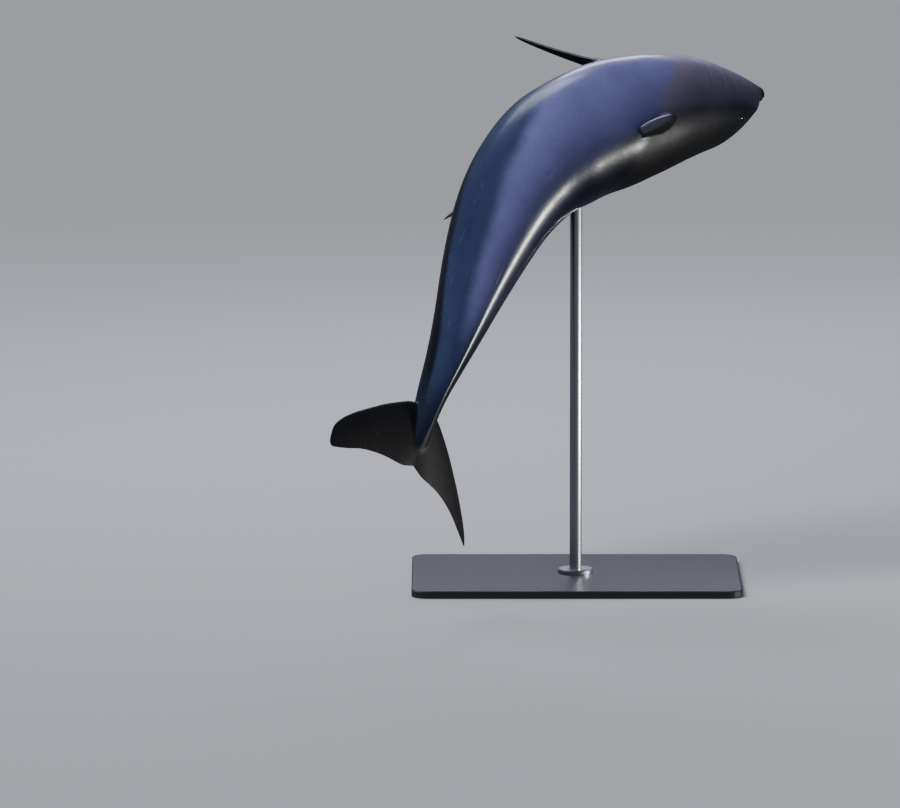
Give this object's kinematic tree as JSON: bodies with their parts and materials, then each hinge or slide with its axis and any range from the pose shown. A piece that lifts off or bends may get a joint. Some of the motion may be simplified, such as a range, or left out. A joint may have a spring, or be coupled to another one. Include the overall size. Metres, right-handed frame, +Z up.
{
  "type": "bottlenose dolphin",
  "caption": "Life-size bottlenose dolphin in mid leap, arching and rolling to show its belly, held up by a steel rod on a flat base.",
  "frame": {"origin": "on the floor, under the middle of the whole object's box", "axes": "+Z up; the animal climbs from its flukes, at low X and low Y, and heads for +X and +Y; +X is the way its head points as seen from the front, at low Y"},
  "size_m": [1.7255, 1.6904, 2.1166],
  "materials": {
    "skin": "wet, smooth and glossy, dark blue-grey above and pale on belly and throat",
    "eye": "gloss",
    "base_paint": "satin",
    "steel": "satin"
  },
  "bodies": {
    "root": {"upper_beak": "skin", "melon": "skin", "lower_jaw": "skin", "head": "skin", "neck": "skin", "chest": "skin", "trunk": "skin", "loin": "skin", "tail_stock": "skin", "peduncle": "skin", "dorsal_fin": "skin", "flipper_left": "skin", "flipper_right": "skin", "fluke_left": "skin", "fluke_right": "skin", "eye_right": "eye", "eye_left": "eye", "stand_base": "base_paint", "stand_flange": "steel", "stand_rod": "steel"}
  },
  "joints": []
}
